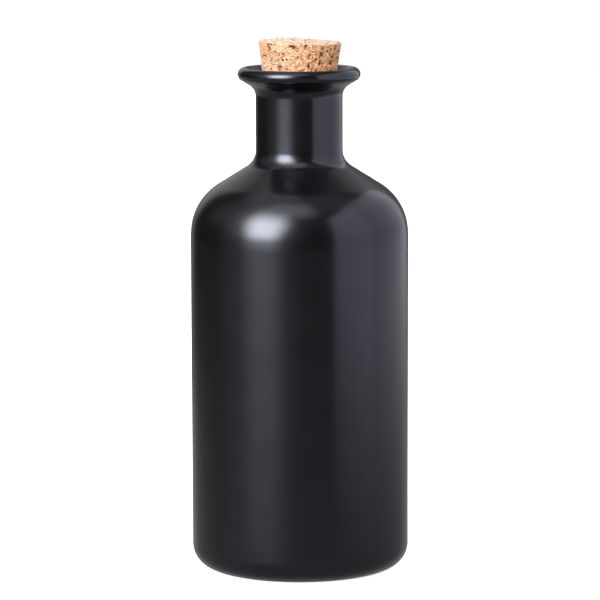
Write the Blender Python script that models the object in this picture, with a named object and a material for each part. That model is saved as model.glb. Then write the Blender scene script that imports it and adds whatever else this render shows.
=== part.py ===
"""Porcelain storage bottle, shut with a tapered cork.

The bottle is slip-cast porcelain: a straight round body, a sloping shoulder, a short neck and a
flared lip with a rolled edge, all with an even wall, standing on a narrow foot ring. The stopper
is pressed cork grain, turned to a taper, and it stands in the mouth with a slight lean.

Units are metres and +Z is up. The origin is on the table, under the bottle's axis.
Run it with: blender --background --python part.py
"""
import math
import random

import bmesh
import bpy
from mathutils import Vector

# Bottle, outside. An angle is a slope above the horizontal.
BODY_RADIUS = 0.0502
BASE_CORNER_RADIUS = 0.0104
SHOULDER_RADIUS = 0.0265
SHOULDER_HEIGHT = 0.1559          # where the straight body wall ends
SHOULDER_SLOPE = math.radians(32.0)
NECK_RADIUS = 0.02005
NECK_FILLET_RADIUS = 0.0090
NECK_TOP = 0.2190                 # where the neck starts to flare
FLARE_FILLET_RADIUS = 0.0062
FLARE_SLOPE = math.radians(30.8)
LIP_EDGE_RADIUS = 0.0031
LIP_REACH = 0.0282                # axis to the lip's outermost point

# Bottle, inside and underside.
WALL = 0.0035
FLOOR_HEIGHT = 0.0060
FLOOR_CORNER_RADIUS = 0.0080
FUNNEL_SLOPE = math.radians(38.0)
THROAT_RADIUS = 0.0050            # rounding between the bore and the funnel
FOOT_RING_WIDTH = 0.0036
FOOT_EDGE_RADIUS = 0.0009         # two such roundings make the underside's recess

# Cork. Heights are along its own axis, from where the throat grips it.
CORK_GRIP_HEIGHT = 0.2245
CORK_ABOVE_GRIP = 0.0197
CORK_LENGTH = 0.0280
CORK_TOP_RADIUS = 0.0190
CORK_TAPER = 0.1395               # radius lost for each metre down
CORK_RIM_RADIUS = 0.0006
CORK_LEAN = math.radians(1.5)
CORK_EXPOSED = 0.0085             # heights above this one stand clear of the mouth

# Pits where grains have dropped out of the cork.
PIT_SEED = 11
SIDE_PITS = 34
TOP_PITS = 14
PIT_RADIUS = (0.0014, 0.0026)
PIT_DEPTH = (0.0004, 0.0009)

# Facets.
BOTTLE_SEGMENTS = 56
CORK_SEGMENTS = 54
CORK_SIDE_RINGS = 20
CORK_CAP_RINGS = 6
WELD = 0.00001


def arc(centre, radius, start, end, steps):
    """Points of an arc in the (radius, height) plane, its angles in degrees from outward."""
    points = []
    for step in range(steps + 1):
        angle = math.radians(start + (end - start) * step / steps)
        points.append((centre[0] + radius * math.cos(angle), centre[1] + radius * math.sin(angle)))
    return points


def tangent_centre(known, known_offset, from_axis, offset, slope):
    """Centre of the circle that shares a sloping tangent with a circle round a known centre.

    An offset is how far a centre lies above the tangent, which climbs outward by slope.
    """
    climb = offset - known_offset + math.sin(slope) * (from_axis - known[0])
    return (from_axis, known[1] + climb / math.cos(slope))


def bottle_outline():
    """The wall's whole outline, from the inside floor over the lip to the underside."""
    bore = NECK_RADIUS - WALL
    inner_radius = BODY_RADIUS - WALL
    cone_angle = 90 - math.degrees(SHOULDER_SLOPE)
    flare_angle = 90 + math.degrees(FLARE_SLOPE)
    funnel_angle = 90 + math.degrees(FUNNEL_SLOPE)

    # The shoulder's cone runs into the neck through a fillet whose centre is in the open air.
    shoulder = (BODY_RADIUS - SHOULDER_RADIUS, SHOULDER_HEIGHT)
    neck_fillet = tangent_centre(shoulder, -SHOULDER_RADIUS, NECK_RADIUS + NECK_FILLET_RADIUS,
                                 NECK_FILLET_RADIUS, -SHOULDER_SLOPE)

    # The lip's edge is round from the flare's underside over to the funnel, which drops to the
    # throat's rounding and so to the bore.
    flare_fillet = (NECK_RADIUS + FLARE_FILLET_RADIUS, NECK_TOP)
    lip = tangent_centre(flare_fillet, -FLARE_FILLET_RADIUS, LIP_REACH - LIP_EDGE_RADIUS,
                         LIP_EDGE_RADIUS, FLARE_SLOPE)
    throat = tangent_centre(lip, -LIP_EDGE_RADIUS, bore + THROAT_RADIUS, -THROAT_RADIUS,
                            FUNNEL_SLOPE)

    floor_corner = (inner_radius - FLOOR_CORNER_RADIUS, FLOOR_HEIGHT + FLOOR_CORNER_RADIUS)
    base_corner = (BODY_RADIUS - BASE_CORNER_RADIUS, BASE_CORNER_RADIUS)
    ring_inside = base_corner[0] - FOOT_RING_WIDTH
    ring_edge = (ring_inside, FOOT_EDGE_RADIUS)
    recess_edge = (ring_inside - 2 * FOOT_EDGE_RADIUS, FOOT_EDGE_RADIUS)

    outline = [(0.0, FLOOR_HEIGHT)]
    outline += arc(floor_corner, FLOOR_CORNER_RADIUS, -90, 0, 4)
    outline += arc(shoulder, SHOULDER_RADIUS - WALL, 0, cone_angle, 6)
    outline += arc(neck_fillet, NECK_FILLET_RADIUS + WALL, 180 + cone_angle, 180, 4)
    outline += arc(throat, THROAT_RADIUS, 180, funnel_angle, 3)
    outline += arc(lip, LIP_EDGE_RADIUS, funnel_angle, flare_angle - 180, 10)
    outline += arc(flare_fillet, FLARE_FILLET_RADIUS, flare_angle, 180, 4)
    outline += arc(neck_fillet, NECK_FILLET_RADIUS, 180, 180 + cone_angle, 6)
    outline += arc(shoulder, SHOULDER_RADIUS, cone_angle, 0, 9)
    outline += arc(base_corner, BASE_CORNER_RADIUS, 0, -90, 7)
    outline += arc(ring_edge, FOOT_EDGE_RADIUS, -90, -180, 2)
    outline += arc(recess_edge, FOOT_EDGE_RADIUS, 0, 90, 2)[1:]
    outline.append((0.0, 2 * FOOT_EDGE_RADIUS))
    return outline


def cork_radius(height):
    """The cork's radius at a height above its grip, before any wear."""
    return CORK_TOP_RADIUS - CORK_TAPER * (CORK_ABOVE_GRIP - height)


def cork_outline():
    """The cork's outline, from the middle of its top down its side to its underside."""
    bottom = CORK_ABOVE_GRIP - CORK_LENGTH
    top_rim = (CORK_TOP_RADIUS - CORK_RIM_RADIUS, CORK_ABOVE_GRIP - CORK_RIM_RADIUS)
    bottom_rim = (cork_radius(bottom) - CORK_RIM_RADIUS, bottom + CORK_RIM_RADIUS)
    outline = []
    for ring in range(CORK_CAP_RINGS):
        outline.append((top_rim[0] * ring / CORK_CAP_RINGS, CORK_ABOVE_GRIP))
    outline += arc(top_rim, CORK_RIM_RADIUS, 90, 0, 2)
    for ring in range(1, CORK_SIDE_RINGS):
        height = top_rim[1] + (bottom_rim[1] - top_rim[1]) * ring / CORK_SIDE_RINGS
        outline.append((cork_radius(height), height))
    outline += arc(bottom_rim, CORK_RIM_RADIUS, 0, -90, 2)
    outline.append((bottom_rim[0] / 2, bottom))
    outline.append((0.0, bottom))
    return outline


def turned(outline, segments):
    """A closed mesh, still open for editing, turned from an outline about the Z axis."""
    shape = bmesh.new()
    verts = [shape.verts.new((radius, 0.0, height)) for radius, height in outline]
    edges = [shape.edges.new(pair) for pair in zip(verts, verts[1:])]
    bmesh.ops.spin(shape, geom=verts + edges, cent=(0, 0, 0), axis=(0, 0, 1),
                   angle=2 * math.pi, steps=segments, use_merge=True)
    bmesh.ops.remove_doubles(shape, verts=shape.verts, dist=WELD)
    bmesh.ops.recalc_face_normals(shape, faces=shape.faces)
    return shape


def cork_pits():
    """Seeded pits in the part of the cork that shows: centre, inward direction, radius, depth."""
    draw = random.Random(PIT_SEED)
    pits = []
    for _ in range(SIDE_PITS):
        angle = draw.uniform(0, 2 * math.pi)
        height = draw.uniform(CORK_EXPOSED, CORK_ABOVE_GRIP)
        outward = Vector((math.cos(angle), math.sin(angle), 0))
        centre = outward * cork_radius(height) + Vector((0, 0, height))
        pits.append((centre, -outward, draw.uniform(*PIT_RADIUS), draw.uniform(*PIT_DEPTH)))
    for _ in range(TOP_PITS):
        angle = draw.uniform(0, 2 * math.pi)
        radius = CORK_TOP_RADIUS * math.sqrt(draw.random())
        centre = Vector((radius * math.cos(angle), radius * math.sin(angle), CORK_ABOVE_GRIP))
        pits.append((centre, Vector((0, 0, -1)), draw.uniform(*PIT_RADIUS),
                     draw.uniform(*PIT_DEPTH)))
    return pits


def press_pits(shape, pits):
    """Push the surface in at each pit, deepest in its middle and level at its edge."""
    for vert in shape.verts:
        rest = vert.co.copy()
        deepest = Vector((0, 0, 0))
        for centre, inward, radius, depth in pits:
            nearness = 1 - (rest - centre).length_squared / radius ** 2
            if nearness > 0 and depth * nearness > deepest.length:
                deepest = inward * depth * nearness
        vert.co = rest + deepest


def material(name, colour, roughness):
    """A plain Principled material."""
    made = bpy.data.materials.new(name)
    made.use_nodes = True
    shader = made.node_tree.nodes["Principled BSDF"]
    shader.inputs["Base Color"].default_value = (*colour, 1.0)
    shader.inputs["Roughness"].default_value = roughness
    shader.inputs["Metallic"].default_value = 0.0
    return made


def add_object(name, shape, finish, sharp_angle):
    """Turn an edited mesh into a smooth-shaded object of the scene."""
    mesh = bpy.data.meshes.new(name)
    shape.to_mesh(mesh)
    shape.free()
    mesh.materials.append(finish)
    mesh.shade_smooth()
    mesh.set_sharp_from_angle(angle=math.radians(sharp_angle))
    piece = bpy.data.objects.new(name, mesh)
    bpy.context.collection.objects.link(piece)
    return piece


def build():
    for old in list(bpy.data.objects):
        bpy.data.objects.remove(old)

    glaze = material("black_glaze", (0.012, 0.012, 0.014), 0.25)
    add_object("bottle", turned(bottle_outline(), BOTTLE_SEGMENTS), glaze, 40)

    grain = material("pressed_cork", (0.70, 0.44, 0.24), 0.85)
    shape = turned(cork_outline(), CORK_SEGMENTS)
    press_pits(shape, cork_pits())
    cork = add_object("cork", shape, grain, 40)
    cork.location = (0.0, 0.0, CORK_GRIP_HEIGHT)
    cork.rotation_euler = (0.0, CORK_LEAN, 0.0)


build()
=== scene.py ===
"""Looks of the porcelain storage bottle: its glaze, bare foot, cork, light and camera.

Metres, +Z up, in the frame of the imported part.
"""
import math

import bpy
import numpy as np
from mathutils import Matrix, Vector
from mathutils.kdtree import KDTree


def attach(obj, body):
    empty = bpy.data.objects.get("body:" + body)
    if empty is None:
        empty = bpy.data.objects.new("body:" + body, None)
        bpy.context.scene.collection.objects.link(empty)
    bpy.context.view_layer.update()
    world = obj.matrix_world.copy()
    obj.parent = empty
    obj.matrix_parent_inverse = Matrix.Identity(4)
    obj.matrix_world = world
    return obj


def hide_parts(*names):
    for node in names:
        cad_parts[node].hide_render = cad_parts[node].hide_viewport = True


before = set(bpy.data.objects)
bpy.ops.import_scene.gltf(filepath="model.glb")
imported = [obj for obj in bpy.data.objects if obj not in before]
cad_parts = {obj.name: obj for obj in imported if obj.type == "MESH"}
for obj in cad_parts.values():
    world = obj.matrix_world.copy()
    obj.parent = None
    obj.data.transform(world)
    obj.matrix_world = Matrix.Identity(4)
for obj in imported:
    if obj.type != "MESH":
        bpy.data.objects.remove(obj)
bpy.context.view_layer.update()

# Bottle, outside and inside. An angle is a slope above the horizontal.
BODY_RADIUS = 0.0502
BASE_CORNER_RADIUS = 0.0104
SHOULDER_RADIUS = 0.0265
SHOULDER_HEIGHT = 0.1559
SHOULDER_SLOPE = math.radians(32.0)
EASE_RADIUS = 0.10                 # the wall leans in this gently before the shoulder's own curve
EASE_ANGLE = 3.0
NECK_RADIUS = 0.02005
NECK_FILLET_RADIUS = 0.0090
NECK_TOP = 0.2190
FLARE_FILLET_RADIUS = 0.0062
FLARE_SLOPE = math.radians(30.8)
LIP_EDGE_RADIUS = 0.0031
LIP_REACH = 0.0282
WALL = 0.0035
FLOOR_HEIGHT = 0.0060
FLOOR_CORNER_RADIUS = 0.0080
FUNNEL_SLOPE = math.radians(38.0)
THROAT_RADIUS = 0.0050
FOOT_RING_WIDTH = 0.0036
FOOT_EDGE_RADIUS = 0.0009
BOTTLE_SEGMENTS = 288
MAX_RUN = 0.006                    # longest straight step of the outline

# Cork. Heights are along its own axis, from where the throat grips it.
CORK_GRIP_HEIGHT = 0.2245
CORK_ABOVE_GRIP = 0.0197
CORK_LENGTH = 0.0280
CORK_TOP_RADIUS = 0.0190
CORK_TAPER = 0.1395
CORK_RIM_RADIUS = 0.0006
CORK_LEAN = math.radians(1.5)
CORK_SEGMENTS = 420
CORK_STEP = 0.00026                # spacing of the rings down the cork's side
CORK_TOP_RINGS = 48
CORK_BOTTOM_RINGS = 20


def arc(centre, radius, start, end, steps):
    """Points of an arc in the (radius, height) plane, its angles in degrees from outward."""
    angles = [math.radians(start + (end - start) * step / steps) for step in range(steps + 1)]
    return [(centre[0] + radius * math.cos(a), centre[1] + radius * math.sin(a)) for a in angles]


def tangent_centre(known, known_offset, from_axis, offset, slope):
    """Centre of the circle that shares a sloping tangent with a circle round a known centre."""
    climb = offset - known_offset + math.sin(slope) * (from_axis - known[0])
    return (from_axis, known[1] + climb / math.cos(slope))


def with_runs_divided(points):
    """The same outline, its long straight runs cut into short steps."""
    divided = [points[0]]
    for start, end in zip(points, points[1:]):
        steps = max(1, math.ceil(math.dist(start, end) / MAX_RUN))
        for step in range(1, steps + 1):
            divided.append(tuple(a + (b - a) * step / steps for a, b in zip(start, end)))
    return divided


def bottle_outline():
    """The wall's outline, from the inside floor over the lip to the underside.

    It is the solid's, with finer arcs and a slight easing of the wall under the shoulder.
    """
    bore = NECK_RADIUS - WALL
    inner_radius = BODY_RADIUS - WALL
    cone_angle = 90 - math.degrees(SHOULDER_SLOPE)
    flare_angle = 90 + math.degrees(FLARE_SLOPE)
    funnel_angle = 90 + math.degrees(FUNNEL_SLOPE)
    shoulder = (BODY_RADIUS - SHOULDER_RADIUS, SHOULDER_HEIGHT)
    neck_fillet = tangent_centre(shoulder, -SHOULDER_RADIUS, NECK_RADIUS + NECK_FILLET_RADIUS,
                                 NECK_FILLET_RADIUS, -SHOULDER_SLOPE)
    flare_fillet = (NECK_RADIUS + FLARE_FILLET_RADIUS, NECK_TOP)
    lip = tangent_centre(flare_fillet, -FLARE_FILLET_RADIUS, LIP_REACH - LIP_EDGE_RADIUS,
                         LIP_EDGE_RADIUS, FLARE_SLOPE)
    throat = tangent_centre(lip, -LIP_EDGE_RADIUS, bore + THROAT_RADIUS, -THROAT_RADIUS,
                            FUNNEL_SLOPE)
    floor_corner = (inner_radius - FLOOR_CORNER_RADIUS, FLOOR_HEIGHT + FLOOR_CORNER_RADIUS)
    base_corner = (BODY_RADIUS - BASE_CORNER_RADIUS, BASE_CORNER_RADIUS)
    ring_inside = base_corner[0] - FOOT_RING_WIDTH
    ring_edge = (ring_inside, FOOT_EDGE_RADIUS)
    recess_edge = (ring_inside - 2 * FOOT_EDGE_RADIUS, FOOT_EDGE_RADIUS)

    # The wall's easing shares its upper end and its tangent there with the shoulder's arc.
    centre_step = SHOULDER_RADIUS - EASE_RADIUS
    ease = (shoulder[0] + centre_step * math.cos(math.radians(EASE_ANGLE)),
            shoulder[1] + centre_step * math.sin(math.radians(EASE_ANGLE)))

    outline = [(0.0, FLOOR_HEIGHT)]
    outline += arc(floor_corner, FLOOR_CORNER_RADIUS, -90, 0, 8)
    outline += arc(shoulder, SHOULDER_RADIUS - WALL, 0, cone_angle, 10)
    outline += arc(neck_fillet, NECK_FILLET_RADIUS + WALL, 180 + cone_angle, 180, 8)
    outline += arc(throat, THROAT_RADIUS, 180, funnel_angle, 10)
    outline += arc(lip, LIP_EDGE_RADIUS, funnel_angle, flare_angle - 180, 28)
    outline += arc(flare_fillet, FLARE_FILLET_RADIUS, flare_angle, 180, 16)
    outline += arc(neck_fillet, NECK_FILLET_RADIUS, 180, 180 + cone_angle, 18)
    outline += arc(shoulder, SHOULDER_RADIUS, cone_angle, EASE_ANGLE, 30)
    outline += arc(ease, EASE_RADIUS, EASE_ANGLE, 0, 8)[1:]
    outline += arc(base_corner, BASE_CORNER_RADIUS, 0, -90, 18)
    outline += arc(ring_edge, FOOT_EDGE_RADIUS, -90, -180, 5)
    outline += arc(recess_edge, FOOT_EDGE_RADIUS, 0, 90, 5)[1:]
    outline.append((0.0, 2 * FOOT_EDGE_RADIUS))
    return with_runs_divided(outline)


def turned_mesh(name, outline, segments):
    """A closed smooth mesh turned about the Z axis from an outline that starts and ends on it."""
    rings = np.array(outline[1:-1])
    angles = np.arange(segments) * 2 * math.pi / segments
    x = rings[:, :1] * np.cos(angles)
    y = rings[:, :1] * np.sin(angles)
    z = np.repeat(rings[:, 1:], segments, axis=1)
    verts = np.stack([x, y, z], axis=2).reshape(-1, 3).tolist()
    first = len(verts)
    verts += [(0, 0, outline[0][1]), (0, 0, outline[-1][1])]
    faces = []
    for segment in range(segments):
        after = (segment + 1) % segments
        faces.append((first, segment, after))
        for ring in range(len(rings) - 1):
            here = ring * segments
            there = here + segments
            faces.append((here + segment, there + segment, there + after, here + after))
        last = (len(rings) - 1) * segments
        faces.append((last + after, last + segment, first + 1))
    mesh = bpy.data.meshes.new(name)
    mesh.from_pydata(verts, [], faces)
    mesh.shade_smooth()
    return mesh


def added(name, mesh, *finishes):
    """Put a mesh in the scene as an object with its materials."""
    piece = bpy.data.objects.new(name, mesh)
    for finish in finishes:
        mesh.materials.append(finish)
    bpy.context.collection.objects.link(piece)
    return piece


class Nodes:
    """A short way to write a node tree: each call adds one node and returns its output."""

    def __init__(self, tree):
        self.tree = tree

    def add(self, kind, output=0, links=None, **settings):
        node = self.tree.nodes.new(kind)
        for key, value in settings.items():
            setattr(node, key, value)
        for socket, value in (links or {}).items():
            self.feed(node.inputs[socket], value)
        return node.outputs[output]

    def feed(self, socket, value):
        if isinstance(value, bpy.types.NodeSocket):
            self.tree.links.new(value, socket)
        else:
            socket.default_value = value

    def math(self, operation, *values):
        return self.add("ShaderNodeMath", operation=operation, links=dict(enumerate(values)))

    def ramp(self, value, low, high, to_low=0.0, to_high=1.0):
        """Smoothly carry a value's range from low to high over to another range."""
        return self.add("ShaderNodeMapRange", interpolation_type="SMOOTHSTEP",
                        links={0: value, 1: low, 2: high, 3: to_low, 4: to_high})

    def noise(self, place, scale, detail=2.0, roughness=0.5):
        return self.add("ShaderNodeTexNoise", links={"Vector": place, "Scale": scale,
                                                     "Detail": detail, "Roughness": roughness})

    def mix(self, factor, colour_a, colour_b):
        return self.add("ShaderNodeMix", output=2, data_type="RGBA",
                        links={0: factor, 6: colour_a, 7: colour_b})

    def mix_value(self, factor, value_a, value_b):
        return self.add("ShaderNodeMix", links={0: factor, 2: value_a, 3: value_b})

    def bump(self, height, strength, distance, under=None):
        links = {"Height": height, "Strength": strength, "Distance": distance}
        if under is not None:
            links["Normal"] = under
        return self.add("ShaderNodeBump", links=links)


def new_material(name):
    material = bpy.data.materials.new(name)
    material.use_nodes = True
    shader = material.node_tree.nodes["Principled BSDF"]
    return material, Nodes(material.node_tree), shader


# Glaze and bare porcelain. The glaze is wiped off the foot below BARE_HEIGHT, give or take.
GLAZE_COLOURS = ((0.0023, 0.0020, 0.0025, 1), (0.0032, 0.0028, 0.0034, 1))
CLAY_COLOURS = ((0.62, 0.58, 0.52, 1), (0.74, 0.71, 0.66, 1))
GLAZE_TINT = (0.86, 0.88, 1.0, 1)
GLAZE_ROUGHNESS = (0.19, 0.22)
GLAZE_IOR = 1.6
CLAY_ROUGHNESS = 0.75
BARE_HEIGHT = (0.00040, 0.00048)
BARE_WANDER = 0.0005


def glaze_material():
    """Satin black glaze, wiped off the foot ring, where the pale fired porcelain is bare."""
    material, nodes, shader = new_material("black_satin_glaze")
    place = nodes.add("ShaderNodeTexCoord", output="Object")
    cloud = nodes.noise(place, 45.0, 3.0)
    speck = nodes.noise(place, 900.0, 2.0)
    black = nodes.mix(nodes.ramp(cloud, 0.3, 0.7), *GLAZE_COLOURS)
    clay = nodes.mix(nodes.ramp(speck, 0.35, 0.7), *CLAY_COLOURS)

    # The bare ring's edges wander a little, as a wiped glaze line does.
    height = nodes.math("ADD", nodes.add("ShaderNodeSeparateXYZ", output="Z", links={0: place}),
                        nodes.math("MULTIPLY", nodes.noise(place, 160.0, 3.0), BARE_WANDER))
    bare = nodes.ramp(height, *BARE_HEIGHT, 1.0, 0.0)
    satin = nodes.ramp(nodes.noise(place, 70.0, 4.0), 0.2, 0.8, *GLAZE_ROUGHNESS)
    nodes.feed(shader.inputs["Base Color"], nodes.mix(bare, black, clay))
    nodes.feed(shader.inputs["Roughness"], nodes.mix_value(bare, satin, CLAY_ROUGHNESS))
    shader.inputs["IOR"].default_value = GLAZE_IOR
    shader.inputs["Specular Tint"].default_value = GLAZE_TINT

    # Broad, very low waves of the melted glaze, and a fine grain.
    waves = nodes.bump(nodes.noise(place, 30.0, 1.0), 0.10, 0.0006)
    grain = nodes.bump(speck, 0.05, 0.00008, under=waves)
    nodes.feed(shader.inputs["Normal"], grain)
    return material


def add_bottle():
    piece = added("bottle_glazed", turned_mesh("bottle_glazed", bottle_outline(),
                                               BOTTLE_SEGMENTS), glaze_material())
    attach(piece, "root")
    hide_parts("bottle")


def cork_radius(height):
    """The cork's radius at a height above its grip, before any wear."""
    return CORK_TOP_RADIUS - CORK_TAPER * (CORK_ABOVE_GRIP - height)


def cork_outline():
    """The cork's outline, from the middle of its top down its side to its underside."""
    bottom = CORK_ABOVE_GRIP - CORK_LENGTH
    top_rim = (CORK_TOP_RADIUS - CORK_RIM_RADIUS, CORK_ABOVE_GRIP - CORK_RIM_RADIUS)
    bottom_rim = (cork_radius(bottom) - CORK_RIM_RADIUS, bottom + CORK_RIM_RADIUS)
    outline = [(top_rim[0] * ring / CORK_TOP_RINGS, CORK_ABOVE_GRIP)
               for ring in range(CORK_TOP_RINGS)]
    outline += arc(top_rim, CORK_RIM_RADIUS, 90, 0, 5)
    side_rings = round((top_rim[1] - bottom_rim[1]) / CORK_STEP)
    for ring in range(1, side_rings):
        height = top_rim[1] + (bottom_rim[1] - top_rim[1]) * ring / side_rings
        outline.append((cork_radius(height), height))
    outline += arc(bottom_rim, CORK_RIM_RADIUS, 0, -90, 4)
    outline += [(bottom_rim[0] * ring / CORK_BOTTOM_RINGS, bottom)
                for ring in range(CORK_BOTTOM_RINGS - 1, -1, -1)]
    return outline


# Pressed cork: flattened chips laid every way, some with open seams or dropped out.
CHIP_SEED = 5
CHIP_COUNT = 4200
CHIP_SHAPE = (0.45, 1.0, 1.35)      # relative sizes of a chip along its own three directions
CHIP_SPREAD = 0.28                  # of the logarithm of the chips' sizes
KEPT_SHARE = 0.985                  # the other chips have dropped out
NEAR_CHIPS = 14                     # how many chips are tried at each point

# A seam is more or less open by its kind, a number from 0 to 1, and wider at the last kinds.
SEAM_KINDS = (0.0, 0.55, 0.80, 1.0)
SEAM_OPENNESS = (0.20, 0.35, 0.65, 1.0)
SEAM_WIDTH = 0.00024
WIDE_SEAM_WIDTH = 0.00042

# Dark fissures, and one orange stain, on the side: degrees round from the front, height, width
# and, for a fissure, how far it is stretched upwards. Heights and widths are in millimetres.
FISSURES = ((56, 14.0, 0.7, 1.4), (54, 10.6, 0.6, 2.2), (31, 11.3, 0.6, 1.5), (60, 18.4, 0.9, 1.0),
            (34, 14.5, 0.8, 0.8), (14, 14.2, 0.5, 1.2), (9, 18.8, 0.6, 1.0), (-10, 17.9, 0.7, 0.8),
            (-30, 8.8, 0.5, 1.5), (-32, 14.2, 0.4, 1.0), (-47, 19.0, 0.6, 0.8),
            (-37, 19.0, 0.5, 0.8), (14, 9.1, 0.4, 2.0), (57, 6.9, 0.7, 1.0), (110, 12.5, 0.8, 1.3),
            (150, 16.5, 0.6, 1.0), (195, 10.5, 0.8, 1.6), (240, 15.0, 0.7, 1.1),
            (285, 11.5, 0.5, 1.5))
STAIN = (-57, 16.5, 4.0)

# Chips that stand up at the back of the cut top: x, y, radius and rise.
TOP_CHIPS = ((-0.0106, 0.0140, 0.0028, 0.0007), (-0.0034, 0.0162, 0.0034, 0.0007))

# Depths of the cork's relief.
SEAM_DEPTH = 0.00055
SEAM_DIP = 0.00008                  # along every seam, shut or open
PIT_DEPTH = 0.00095
PIT_EDGE = 0.0006                   # how far in from a chip's edge its pit is at full depth
CHIP_STEP = 0.00007                 # half the range of the steps between chips
SKIN_RISE = 0.00011                 # makes up for the mean depth of the relief

# Only what stands clear of the mouth has its full relief; the gripped length is smoother.
RELIEF_HEIGHTS = (0.0015, 0.0060)
RELIEF_SHARES = (0.25, 1.0)
FOOT_RELIEF_SHARE = 0.6             # on the underside and just above it
FOOT_RELIEF_HEIGHT = 0.003


def on_side(angle, height):
    """The point of the cork's side at an angle from the front, degrees, and a height, mm."""
    turn = math.radians(angle)
    radius = cork_radius(height / 1000)
    return np.array((radius * math.sin(turn), -radius * math.cos(turn), height / 1000))


def cork_chips():
    """Seeded chips that fill the cork: centres, matrices that measure from them, and the draw.

    A matrix turns an offset to its chip's own directions and divides it by the sizes there.
    """
    draw = np.random.default_rng(CHIP_SEED)
    bottom = CORK_ABOVE_GRIP - CORK_LENGTH
    reach = CORK_TOP_RADIUS + 0.001
    centres = draw.uniform((-reach, -reach, bottom), (reach, reach, CORK_ABOVE_GRIP),
                           (CHIP_COUNT * 2, 3))
    centres = centres[np.hypot(centres[:, 0], centres[:, 1]) < reach][:CHIP_COUNT]
    turns = np.linalg.qr(draw.normal(size=(len(centres), 3, 3)))[0]
    sizes = np.array(CHIP_SHAPE) * draw.lognormal(0.0, CHIP_SPREAD, (len(centres), 1))
    return centres, turns / sizes[:, :, None], draw


def cork_surface(mesh):
    """Move the cork's skin into chips, seams and pits, and store what its colours need."""
    count = len(mesh.vertices)
    flat = np.empty(count * 3)
    mesh.vertices.foreach_get("co", flat)
    points = flat.reshape(-1, 3)
    centres, measure, draw = cork_chips()

    tree = KDTree(len(centres))
    for index, centre in enumerate(centres):
        tree.insert(centre, index)
    tree.balance()
    near = np.array([[hit[1] for hit in tree.find_n(point, NEAR_CHIPS)] for point in points])
    offset = points[:, None, :] - centres[near]
    distance = np.linalg.norm(np.einsum("nkij,nkj->nki", measure[near], offset), axis=2)
    order = np.argsort(distance, axis=1)[:, :2]
    nearest, second = np.take_along_axis(near, order, axis=1).T
    pair = np.take_along_axis(distance, order, axis=1)
    gap = pair[:, 1] - pair[:, 0]

    # Each pair of neighbours shares one seam, shut, faint or open.
    low = np.minimum(nearest, second)
    high = np.maximum(nearest, second)
    seam_kind = np.modf(np.abs(np.sin(low * 12.9898 + high * 78.233)) * 43758.5453)[0]
    seam_width = np.where(seam_kind > SEAM_KINDS[2], WIDE_SEAM_WIDTH, SEAM_WIDTH)
    seam = np.exp(-(gap / seam_width) ** 2)
    seam_dark = seam * np.interp(seam_kind, SEAM_KINDS, SEAM_OPENNESS)

    kind = draw.random(len(centres))
    lift = draw.uniform(-1, 1, len(centres))
    dropped = kind > KEPT_SHARE
    pit = dropped[nearest] * np.clip(gap / PIT_EDGE, 0, 1)

    # Fissures are ragged, because each chip that one crosses takes a share of its own.
    ragged = 1 + 0.6 * lift[nearest]
    for angle, up, width, stretch in FISSURES:
        away = (points - on_side(angle, up)) * (1, 1, 1 / stretch)
        away = np.linalg.norm(away, axis=1) * 1000 / width
        pit = np.maximum(pit, np.clip(1.5 - away * ragged, 0, 1))
    away = np.linalg.norm(points - on_side(*STAIN[:2]), axis=1) * 1000 / STAIN[2]
    stain = np.clip(1.3 - away * ragged, 0, 1)

    depth = SEAM_DEPTH * seam_dark + SEAM_DIP * seam + PIT_DEPTH * pit
    depth += CHIP_STEP * (1 - lift[nearest])

    height = points[:, 2]
    share = np.interp(height, RELIEF_HEIGHTS, RELIEF_SHARES)
    near_foot = height < CORK_ABOVE_GRIP - CORK_LENGTH + FOOT_RELIEF_HEIGHT
    depth = (depth - SKIN_RISE) * np.where(near_foot, FOOT_RELIEF_SHARE, share)

    for x, y, radius, rise in TOP_CHIPS:
        away = np.hypot(points[:, 0] - x, points[:, 1] - y) / radius
        lump = np.clip(1 - away ** 2, 0, 1) * (height > CORK_ABOVE_GRIP - 0.0002)
        depth = depth - rise * np.sqrt(lump)

    normals = np.empty(count * 3)
    mesh.vertices.foreach_get("normal", normals)
    points = points - normals.reshape(-1, 3) * depth[:, None]
    mesh.vertices.foreach_set("co", points.ravel())

    def store(name, values):
        attribute = mesh.attributes.new(name, "FLOAT", "POINT")
        attribute.data.foreach_set("value", values.astype(np.float32))

    store("chip_tone", kind[nearest] / KEPT_SHARE)
    store("seam_dark", np.clip(seam_dark, 0, 1))
    store("pit_dark", np.clip(pit, 0, 1))
    store("stain", stain)
    mesh.update()


# Colours of the cork, the chips' own ones as stops along each chip's tone.
CHIP_TONES = ((0.0, (0.68, 0.43, 0.26, 1)), (0.20, (0.56, 0.33, 0.17, 1)),
              (0.40, (0.65, 0.39, 0.23, 1)), (0.58, (0.51, 0.28, 0.13, 1)),
              (0.76, (0.62, 0.38, 0.23, 1)), (0.90, (0.45, 0.23, 0.10, 1)),
              (1.0, (0.34, 0.15, 0.06, 1)))
CORK_BROWN = (0.48, 0.24, 0.11, 1)
CORK_DARK_FLECK = (0.28, 0.11, 0.045, 1)
CORK_PALE_FLECK = (0.94, 0.72, 0.53, 1)
# Paler colour for the cork's left side: painted light from the key softbox, not bleaching.
CORK_PAINTED_KEY_LIGHT = (0.66, 0.48, 0.36, 1)
CORK_STAIN = (0.62, 0.30, 0.10, 1)
# Paler colour for the cut top: partly dust, partly painted top light and sheen.
CORK_DUST_AND_TOP_LIGHT = (0.65, 0.54, 0.45, 1)
CORK_SEAM = (0.14, 0.05, 0.018, 1)
CORK_CRUMB = (0.10, 0.035, 0.012, 1)
CORK_PIT = (0.10, 0.038, 0.014, 1)
CORK_ROUGHNESS = 0.85
CORK_IOR = 1.4


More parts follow.
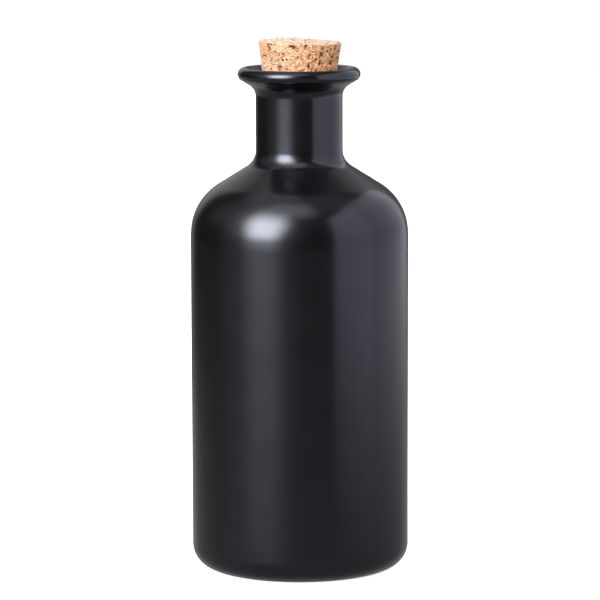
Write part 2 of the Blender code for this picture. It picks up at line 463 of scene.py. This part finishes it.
def crumb_holes_and_painted_shade(nodes, place, across, fleck):
    """Where small crumbs have fallen out, with ragged edges. The extra holes towards +X are
    painted shade, standing in for relief shade on the side away from the key.
    """
    wobble = nodes.add("ShaderNodeVectorMath", operation="SCALE",
                       links={0: nodes.add("ShaderNodeTexNoise", output="Color",
                                           links={"Vector": place, "Scale": 900.0}),
                              "Scale": 0.0016})
    bent = nodes.add("ShaderNodeVectorMath", operation="ADD", links={0: place, 1: wobble})
    cells = nodes.add("ShaderNodeTexVoronoi", links={"Vector": bent, "Scale": 590.0}).node
    chance = nodes.add("ShaderNodeSeparateColor", links={0: cells.outputs["Color"]})
    # More holes towards +X: painted shade.
    chance = nodes.math("ADD", chance, nodes.ramp(across, 0.001, 0.011, 0.0, 0.32))
    ragged = nodes.math("ADD", cells.outputs["Distance"], nodes.ramp(fleck, 0.3, 0.7, -0.12, 0.16))
    return nodes.math("MULTIPLY", nodes.ramp(ragged, 0.26, 0.38, 1.0, 0.0),
                      nodes.ramp(chance, 0.76, 0.80))


def cork_material():
    """Pressed cork: chips of several tans, dark seams and pits, and a cut top made paler by dust
    and by painted top light.
    """
    material, nodes, shader = new_material("pressed_cork")
    place = nodes.add("ShaderNodeTexCoord", output="Object")
    across = nodes.add("ShaderNodeSeparateXYZ", output="X", links={0: place})
    facing_up = nodes.add("ShaderNodeSeparateXYZ", output="Z",
                          links={0: nodes.add("ShaderNodeTexCoord", output="Normal")})
    fleck = nodes.noise(place, 1500.0, 4.0, 0.65)
    cloud = nodes.noise(place, 520.0, 3.0, 0.6)
    crumb = crumb_holes_and_painted_shade(nodes, place, across, fleck)

    def stored(name):
        return nodes.add("ShaderNodeAttribute", output="Fac", attribute_name=name)

    # Each chip has its own tan, mottled and flecked.
    colour = nodes.add("ShaderNodeValToRGB", links={0: stored("chip_tone")})
    tones = colour.node.color_ramp.elements
    while len(tones) < len(CHIP_TONES):
        tones.new(1.0)
    for element, (position, tone) in zip(tones, CHIP_TONES):
        element.position = position
        element.color = tone
    colour = nodes.mix(nodes.ramp(cloud, 0.42, 0.66, 0.0, 0.30), colour, CORK_BROWN)
    # More dark flecks towards +X: painted relief shade on the side away from the key.
    darker_with_painted_shade = nodes.math("ADD", fleck, nodes.ramp(across, 0.001, 0.011, 0.0, 0.04))
    colour = nodes.mix(nodes.ramp(darker_with_painted_shade, 0.50, 0.70, 0.0, 0.9), colour, CORK_DARK_FLECK)
    colour = nodes.mix(nodes.ramp(fleck, 0.28, 0.46, 0.85, 0.0), colour, CORK_PALE_FLECK)

    # The left side, towards the key light, is painted paler as painted key light. One spot is
    # stained, and the cut top is paler, partly from dust and partly from painted top light.
    colour = nodes.mix(nodes.ramp(across, -0.017, -0.001, 0.36, 0.0), colour, CORK_PAINTED_KEY_LIGHT)
    colour = nodes.mix(nodes.math("MULTIPLY", stored("stain"), 0.6), colour, CORK_STAIN)
    # Faces that point up are painted paler: dust, and painted light from above.
    colour = nodes.mix(nodes.ramp(facing_up, 0.55, 0.9, 0.0, 0.62), colour, CORK_DUST_AND_TOP_LIGHT)

    # Seams are dark in places, and crumb holes and pits all through.
    broken = nodes.math("MULTIPLY", stored("seam_dark"), nodes.ramp(cloud, 0.40, 0.60, 0.15, 1.0))
    colour = nodes.mix(broken, colour, CORK_SEAM)
    colour = nodes.mix(crumb, colour, CORK_CRUMB)
    colour = nodes.mix(stored("pit_dark"), colour, CORK_PIT)
    nodes.feed(shader.inputs["Base Color"], colour)
    shader.inputs["Roughness"].default_value = CORK_ROUGHNESS
    shader.inputs["IOR"].default_value = CORK_IOR
    relief = nodes.math("SUBTRACT", fleck, crumb)
    nodes.feed(shader.inputs["Normal"], nodes.bump(relief, 0.7, 0.0005))
    return material


def add_cork():
    mesh = turned_mesh("cork_pressed", cork_outline(), CORK_SEGMENTS)
    cork_surface(mesh)
    piece = added("cork_pressed", mesh, cork_material())
    piece.matrix_world = Matrix.Translation((0, 0, CORK_GRIP_HEIGHT)) @ \
        Matrix.Rotation(CORK_LEAN, 4, "Y")
    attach(piece, "root")
    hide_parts("cork")


# Studio light from afar, by azimuth (0 towards the camera, positive to its right) and elevation,
# in degrees. A patch has a middle, a half-width and a softness in each, and a radiance.
LIGHT_TINT = (0.97, 0.98, 1.0)
SURROUND = 0.03
KEY_AZIMUTH = -40.0
KEY_HALF_WIDTH = 18.5
KEY_SOFTNESS = 12
KEY_RADIANCE = 15.0
PATCHES = (((-40, 18, 12), (-2.0, 6.5, 4.0), 0.88),     # under the key softbox
           ((-84, 34, 14), (36, 20, 12), 0.28),         # left of it
           ((-45, 40, 14), (28, 30, 12), 0.45),         # all round it
           ((-50, 35, 10), (-9, 14, 5), 0.08),          # on the floor below it
           ((-20, 42, 10), (62, 14, 4), 1.0))           # a scrim over the front


def studio_world():
    """Soft light from afar: a key softbox at the left, scrims overhead and behind, a dim floor."""
    world = bpy.data.worlds.new("studio")
    world.use_nodes = True
    nodes = Nodes(world.node_tree)
    direction = nodes.add("ShaderNodeTexCoord", output="Generated")
    x, y, z = nodes.add("ShaderNodeSeparateXYZ", links={0: direction}).node.outputs
    degrees = 180 / math.pi
    azimuth = nodes.math("MULTIPLY", nodes.math("ARCTAN2", x, nodes.math("MULTIPLY", y, -1.0)),
                         degrees)
    elevation = nodes.math("MULTIPLY", nodes.math("ARCSINE", z), degrees)

    def window(value, middle, half, soft):
        away = nodes.math("ABSOLUTE", nodes.math("SUBTRACT", value, middle))
        return nodes.ramp(away, half - soft, half + soft, 1.0, 0.0)

    # The key softbox is brightest in its middle, and narrower towards its foot.
    narrowing = nodes.ramp(elevation, -5, 35, 1.25, 0.90)
    across = nodes.math("MULTIPLY", nodes.math("SUBTRACT", azimuth, KEY_AZIMUTH), narrowing)
    upright = nodes.math("MULTIPLY", nodes.ramp(elevation, -6.5, 15.5),
                         nodes.ramp(elevation, 29.5, 61.5, 1.0, 0.0))
    key = nodes.math("MULTIPLY", window(across, 0, KEY_HALF_WIDTH, KEY_SOFTNESS), upright)
    lit = [nodes.math("MULTIPLY", key, KEY_RADIANCE)]

    for azimuth_at, elevation_at, radiance in PATCHES:
        inside = nodes.math("MULTIPLY", window(azimuth, *azimuth_at),
                            window(elevation, *elevation_at))
        lit.append(nodes.math("MULTIPLY", inside, radiance))

    # The scrim overhead is brighter on the left than on the right, and dim behind.
    overhead = nodes.math("MULTIPLY", nodes.ramp(elevation, 50, 62),
                          nodes.ramp(azimuth, 5, 50, 0.62, 0.24))
    lit.append(nodes.math("MULTIPLY", overhead, nodes.ramp(azimuth, 100, 150, 1.0, 0.4)))

    # The backdrop, which lights the outline's edges.
    behind_left = nodes.math("MULTIPLY", nodes.ramp(azimuth, -154, -140, 1.0, 0.0),
                             nodes.ramp(elevation, 0, 12, 0.10, 0.40))
    edge_left = nodes.math("MULTIPLY", nodes.ramp(azimuth, -158, -142, 1.0, 0.0),
                           nodes.ramp(elevation, -10, -6, 0.0, 0.16))
    behind_right = nodes.math("MULTIPLY", nodes.ramp(azimuth, 132, 150),
                              nodes.ramp(elevation, 12, 26, 0.12, 0.40))
    behind = nodes.math("ADD", nodes.math("ADD", behind_left, edge_left), behind_right)
    lit.append(nodes.math("MULTIPLY", behind, nodes.ramp(elevation, 44, 60, 1.0, 0.0)))

    # The floor, which starts lower and is brighter at the far left.
    low_front = nodes.math("ADD", nodes.ramp(elevation, -8, -6, 0.135, 0.0),
                           nodes.ramp(elevation, -15, -8, 0.13, 0.0))
    low_left = nodes.ramp(elevation, -9.9, -9.1, 0.28, 0.0)
    lit.append(nodes.mix_value(nodes.ramp(azimuth, -108, -88, 1.0, 0.0), low_front, low_left))

    total = SURROUND
    for part in lit:
        total = nodes.math("ADD", total, part)

    studio = nodes.add("ShaderNodeBackground", links={"Color": (*LIGHT_TINT, 1),
                                                      "Strength": total})
    white = nodes.add("ShaderNodeBackground", links={"Color": (1, 1, 1, 1), "Strength": 1.0})
    seen = nodes.add("ShaderNodeLightPath", output="Is Camera Ray")
    shown = nodes.add("ShaderNodeMixShader", links={0: seen, 1: studio, 2: white})
    output = world.node_tree.nodes["World Output"]
    nodes.feed(output.inputs["Surface"], shown)
    bpy.context.scene.world = world


# The tall panel at the right: its distance, and its radiance by spans of depth and of height.
PANEL_X = 0.55
PANEL_TINT = (0.95, 0.95, 1.07)
PANEL_DEPTHS = ((-0.75, -0.10, 1.02), (-0.10, 1.00, 0.78))
PANEL_HEIGHTS = ((0.60, 0.93, 1.30), (0.25, 0.60, 1.14), (0.02, 0.25, 0.97),
                 (-0.03, 0.02, 0.58), (-0.08, -0.03, 0.27), (-0.13, -0.08, 0.11))

# A warm fill from the front right.
FILL_PLACE = (0.60, -0.60, 0.60)
FILL_FACING = (-0.60, 0.60, -0.37)
FILL_SIZE = 0.6
FILL_RADIANCE = 5.6
FILL_TINT = (1.0, 0.90, 0.84)


def softbox(name, middle, facing, width, height, radiance, tint):
    """An area light of even radiance."""
    data = bpy.data.lights.new(name, "AREA")
    data.shape = "RECTANGLE"
    data.size = width
    data.size_y = height
    data.energy = radiance * math.pi * width * height
    data.color = tint
    light = bpy.data.objects.new(name, data)
    light.location = middle
    light.rotation_euler = Vector(facing).to_track_quat("-Z", "Y").to_euler()
    light.visible_camera = False
    bpy.context.collection.objects.link(light)
    return light


def softboxes():
    """The near lights: a tall panel at the right that fades downwards, and a fill."""
    for near, far, radiance in PANEL_DEPTHS:
        for low, high, share in PANEL_HEIGHTS:
            middle = (PANEL_X, (near + far) / 2, (low + high) / 2)
            softbox("panel", middle, (-1, 0, 0), far - near, high - low, radiance * share,
                    PANEL_TINT)

    # The fill lights only the cork: the glaze doesn't mirror it.
    fill = softbox("cork_fill", FILL_PLACE, FILL_FACING, FILL_SIZE, FILL_SIZE, FILL_RADIANCE,
                   FILL_TINT)
    fill.visible_glossy = False


FLOOR_REACH = 3.0
FLOOR_COLOURS = ((0.90, 0.90, 0.90, 1), (0.93, 0.93, 0.93, 1))
FLOOR_GLOW = 0.75


def add_floor():
    """A plain pale floor, bright as the backdrop, with only a faint shadow under the bottle."""
    mesh = bpy.data.meshes.new("floor")
    mesh.from_pydata([(-FLOOR_REACH, -FLOOR_REACH, 0), (FLOOR_REACH, -FLOOR_REACH, 0),
                      (FLOOR_REACH, FLOOR_REACH, 0), (-FLOOR_REACH, FLOOR_REACH, 0)],
                     [], [(0, 1, 2, 3)])
    material, nodes, shader = new_material("pale_floor")
    place = nodes.add("ShaderNodeTexCoord", output="Object")
    tone = nodes.noise(place, 3.0)
    nodes.feed(shader.inputs["Base Color"], nodes.mix(tone, *FLOOR_COLOURS))
    shader.inputs["Roughness"].default_value = 1.0
    shader.inputs["Specular IOR Level"].default_value = 0.0
    shader.inputs["Emission Color"].default_value = (1, 1, 1, 1)
    shader.inputs["Emission Strength"].default_value = FLOOR_GLOW
    floor = added("floor", mesh, material)
    floor.visible_glossy = False
    floor.visible_diffuse = False


# Camera: 1.6 m in front of the bottle's axis and a little above it, looking slightly down.
CAMERA_DISTANCE = 1.6038
CAMERA_HEIGHT = 0.3509
CAMERA_PITCH = math.radians(8.037)
CAMERA_ROLL = math.radians(-0.155)
CAMERA_LENS = 209.81
CAMERA_SHIFT = 0.0005


def add_camera():
    data = bpy.data.cameras.new("camera")
    data.lens = CAMERA_LENS
    data.sensor_width = 36.0
    data.shift_x = CAMERA_SHIFT
    camera = bpy.data.objects.new("camera", data)
    camera.matrix_world = Matrix.Translation((0, -CAMERA_DISTANCE, CAMERA_HEIGHT)) @ \
        Matrix.Rotation(math.pi / 2 - CAMERA_PITCH, 4, "X") @ \
        Matrix.Rotation(CAMERA_ROLL, 4, "Z")
    bpy.context.collection.objects.link(camera)
    bpy.context.scene.camera = camera


add_camera()
studio_world()
softboxes()
add_floor()
add_bottle()
add_cork()
bpy.context.scene.view_settings.view_transform = "Standard"
